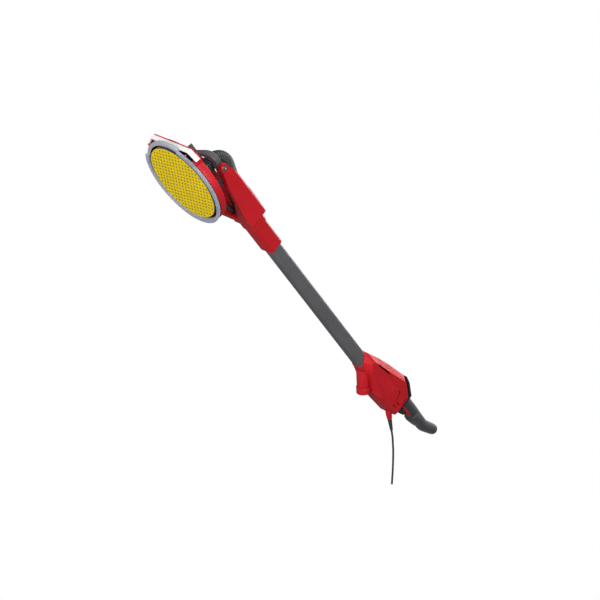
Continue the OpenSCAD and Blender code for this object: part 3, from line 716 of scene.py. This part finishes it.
# The flexible drive's sheath, out of the gearbox and down into the neck
centre_v, centre_n, bend_r = -46, 12, 40
FLEX_TURN = 26
flex_line = [
    (0, centre_v - bend_r * math.sin(a), centre_n + bend_r * math.cos(a))
    for a in np.radians(np.linspace(0, FLEX_TURN, 14))
]
flex_dir = np.array([0, -math.cos(math.radians(FLEX_TURN)), -math.sin(math.radians(FLEX_TURN))])
flex_line += [tuple(np.array(flex_line[-1]) + flex_dir * s) for s in np.linspace(4, 138, 40)]
path, stations = resample(to_head(flex_line), 1.0)
phase = (stations / 4.0) % 1.0
verts, faces = sweep(path, 6.6 + 0.35 * np.cos(TAU * phase), sides=24)
flex = dress(new_object("drive_sheath", verts, faces), "black_rubber", None, ["flex_drive"], angle=70)

# ---------------------------------------------------------------- grip

GRIP_Y, GRIP_TOP, GRIP_TAIL, GRIP_SIDES = 31, -1174, 54.6, 56
BEND_Z, BEND_R, BEND = -1315, 45, 20
grip_line = [(0, GRIP_Y, z) for z in np.linspace(GRIP_TOP, BEND_Z, 60)]
grip_line += arc_points((GRIP_Y + BEND_R, BEND_Z), BEND_R, 180, 180 + BEND, 1.0)[1:]
tail_dir = np.array([0, math.sin(math.radians(BEND)), -math.cos(math.radians(BEND))])
grip_line += [tuple(np.array(grip_line[-1]) + tail_dir * s) for s in np.linspace(1, GRIP_TAIL, 50)]
path, stations = resample(grip_line, 1.2)
length = stations[-1]
seam = length - 13.0
radius_at = np.interp(
    stations,
    [0, 8, 40, 66, 110, 140, 165, seam - 2, length - 5, length - 1.6, length],
    [17.6, 19.6, 20.0, 20.0, 18.6, 18.4, 18.0, 17.0, 15.6, 14.0, 11.6],
)
radius_at = radius_at - 0.9 * np.exp(-(((stations - seam) / 0.7) ** 2))
grip = new_object("grip_skin", *sweep(path, radius_at, sides=GRIP_SIDES))
# The lip below the switch, as heights and radii
lip_at = [(-1247.2, 15.0), (-1247.6, 20.6), (-1250, 22.3), (-1255, 22.6)]
lip_at += [(-1260, 22.1), (-1272, 20.4), (-1286, 17.6), (-1296, 15.0)]
lip = sweep([(0, 25, z) for z, r in lip_at], [r for z, r in lip_at], sides=GRIP_SIDES)
grip_lip = new_object("grip_lip_form", *lip)
union = grip.modifiers.new("lip", "BOOLEAN")
union.operation = "UNION"
union.solver = "EXACT"
union.object = grip_lip
pocket_outline = [(-12, -1237), (21.5, -1237), (21.5, -1150), (-12, -1150)]
pocket = cutter("switch_pocket", *prism(pocket_outline, -14, 14))
cut(grip, pocket)


def apply_modifiers(obj):
    """Replaces the mesh by its modified form."""
    graph = bpy.context.evaluated_depsgraph_get()
    made = bpy.data.meshes.new_from_object(obj.evaluated_get(graph))
    obj.modifiers.clear()
    obj.data = made


apply_modifiers(grip)
bpy.data.objects.remove(grip_lip)
bpy.data.objects.remove(pocket)
dress(grip, "grip_rubber", "pole", ["grip_sleeve"], angle=40)
bevel(grip, 0.6, 2, 40)

# ---------------------------------------------------------------- cord

CORD_X, CORD_R, CORD_ANGLE = 12, 3.0, math.radians(24.4)
cord_dir = np.array([0, -math.sin(CORD_ANGLE), -math.cos(CORD_ANGLE)])
cord_root = np.array([CORD_X, -36.4, -1156.0])

# The sleeve: a root inside the housing's boot, then a ribbed taper. Distances run along the cord
SLEEVE_START, SLEEVE_SHOULDER, SLEEVE_END = 6.1, 16.1, 58
RIB_PITCH, RIB_DEPTH = 4.2, 0.55
stations = np.arange(SLEEVE_START, SLEEVE_END + 1e-6, 0.5)
path = [tuple(cord_root + cord_dir * s) for s in stations]
taper = np.interp(stations, [SLEEVE_SHOULDER, SLEEVE_END], [6.8, 4.4])
core_r = np.where(stations < SLEEVE_SHOULDER, 5.5, taper)
rib_wave = 0.5 + 0.5 * np.sign(np.sin(stations * TAU / RIB_PITCH))
ribs = np.where((stations > 20) & (stations < 54), RIB_DEPTH * rib_wave, 0)
verts, faces = sweep(path, core_r - ribs, sides=28)
dress(new_object("cord_sleeve", verts, faces), "black_rubber", "pole", ["strain_relief"], angle=30)

cord_points = [tuple(cord_root + cord_dir * s) for s in (20, 42)]
cord_bends = ((-70.9, -1230.6), (-85.4, -1254.6), (-100.3, -1277.9))
cord_bends += ((-133, -1321.1), (-166.4, -1361.4))
cord_points += [(CORD_X, y, z) for y, z in cord_bends]
cord_line = smooth_curve(cord_points, 18)
verts, faces = sweep(cord_line, np.full(len(cord_line), CORD_R), sides=20)
dress(new_object("mains_cord", verts, faces), "black_rubber", "pole", ["power_cord"], angle=60)

# ---------------------------------------------------------------- motor housing details

# The flat sides stand this far from the middle plane
HALF = 42.0


def ribbon(points, width):
    """The outline of a band along an open line in the (y, z) plane."""
    line = np.asarray(points, float)
    along = np.gradient(line, axis=0)
    along /= np.linalg.norm(along, axis=1)[:, None]
    aside = np.stack([-along[:, 1], along[:, 0]], axis=1) * width / 2
    return [tuple(p) for p in line + aside] + [tuple(p) for p in (line - aside)[::-1]]


def groove(points, width, depth, side):
    """A cutter along a line in the (y, z) plane, sunk into the side wall."""
    low, high = (HALF - depth, HALF + 4) if side > 0 else (-HALF - 4, -HALF + depth)
    return prism(ribbon(points, width), low, high)


# Lines in the (y, z) plane of the flat sides, and their grooves' widths
SLOT_WIDTH, CREASE_WIDTH, VENT_WIDTH = 4.6, 1.6, 4.4
COOLING_SLOT = [(21.3, -955.5), (32.0, -1018.5)]
CREASE = [(34, -1022), (28, -1034), (25.5, -1054), (24.4, -1074), (34.6, -1089), (46, -1104)]
VENTS = [
    [(25, -1097), (16, -1105.5), (6, -1109.5), (-8, -1110)],
    [(-23, -1111.8), (-14.5, -1117.3)],
    [(-9, -1119.5), (-4, -1123), (1, -1125.5)],
    [(-8, -1130), (-4, -1132), (1, -1133)],
    [(27, -1138), (20, -1140.5), (12, -1142), (-3, -1143)],
]
# The left half has a screw in place of this slot
RIGHT_VENT = [(-22, -1122.2), (-13.5, -1127.8)]


def housing_cutters(side):
    vents = VENTS + [RIGHT_VENT] if side > 0 else VENTS
    tools = [groove(COOLING_SLOT, SLOT_WIDTH, 8.0, side), groove(CREASE, CREASE_WIDTH, 1.0, side)]
    return tools + [groove(vent, VENT_WIDTH, 5.0, side) for vent in vents]


for node, side in (("housing_left", -1), ("housing_right", 1)):
    cut(frame["nodes"][node], cutter(f"{node}_tool", *merge(housing_cutters(side))))

for node, width in EDGES.items():
    piece = frame["nodes"][node]
    flatten_cad(piece)
    if width:
        bevel(piece, width)
    else:
        piece.modifiers.new("normals", "WEIGHTED_NORMAL").keep_sharp = True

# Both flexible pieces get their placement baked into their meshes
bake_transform(hose)
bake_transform(flex)

# ---------------------------------------------------------------- stage

SKY_LOW, SKY_HIGH = 0.12, 0.42

world = bpy.data.worlds.new("studio")
bpy.context.scene.world = world
world.use_nodes = True
sky = world.node_tree
background = sky.nodes["Background"]
coord = sky.nodes.new("ShaderNodeTexCoord")
parts = sky.nodes.new("ShaderNodeSeparateXYZ")
sky.links.new(coord.outputs["Generated"], parts.inputs["Vector"])
height = sky.nodes.new("ShaderNodeMapRange")
for name, value in (
    ("From Min", -0.6), ("From Max", 1.0), ("To Min", SKY_LOW), ("To Max", SKY_HIGH)
):
    height.inputs[name].default_value = value
sky.links.new(parts.outputs["Z"], height.inputs["Value"])
# The camera sees plain white; the tool is lit by a sky that darkens downwards
path_kind = sky.nodes.new("ShaderNodeLightPath")
chosen = sky.nodes.new("ShaderNodeMix")
sky.links.new(path_kind.outputs["Is Camera Ray"], chosen.inputs["Factor"])
sky.links.new(height.outputs["Result"], chosen.inputs[2])
chosen.inputs[3].default_value = 1.0
sky.links.new(chosen.outputs[0], background.inputs["Strength"])
background.inputs["Color"].default_value = (1.0, 1.0, 1.0, 1)
bpy.context.scene.view_settings.view_transform = "Standard"

# The picture's viewing angle: rows are the camera's right, up and back
VIEW = Matrix(
    (
        (0.667466, 0.596423, -0.445835),
        (-0.299369, 0.763138, 0.572711),
        (0.681812, -0.248796, 0.687920),
    )
)
OFFSET = Vector((-0.300025, 0.297475, -5.100527))
camera_data = bpy.data.cameras.new("camera")
camera_data.lens = 120
camera_data.sensor_width = 36
camera = bpy.data.objects.new("camera", camera_data)
bpy.context.scene.collection.objects.link(camera)
turn = VIEW.transposed()
camera.matrix_world = Matrix.Translation(-(turn @ OFFSET)) @ turn.to_4x4()
camera_data.clip_end = 60
bpy.context.scene.camera = camera


def area_light(name, direction, distance, size, power, target=from_gimbal(0, 0, -650)):
    """A soft light that faces the tool from a direction given as camera right, up and back."""
    data = bpy.data.lights.new(name, "AREA")
    data.shape = "DISK"
    data.size = size
    data.energy = power
    made = bpy.data.objects.new(name, data)
    away = (turn @ Vector(direction)).normalized()
    made.location = Vector(target) + away * distance
    made.rotation_mode = "QUATERNION"
    made.rotation_quaternion = away.to_track_quat("Z", "Y")
    made.visible_camera = False
    bpy.context.scene.collection.objects.link(made)


area_light("key", (0.55, 1.0, 0.10), 3.2, 1.6, 75)
area_light("front", (0.35, -0.15, 1.0), 3.6, 2.0, 75)
area_light("face", (-0.7, -0.1, 0.9), 2.4, 1.6, 44, target=from_gimbal(0, 0, 0))
area_light("behind", (0.55, 0.42, -0.72), 3.0, 1.8, 24)
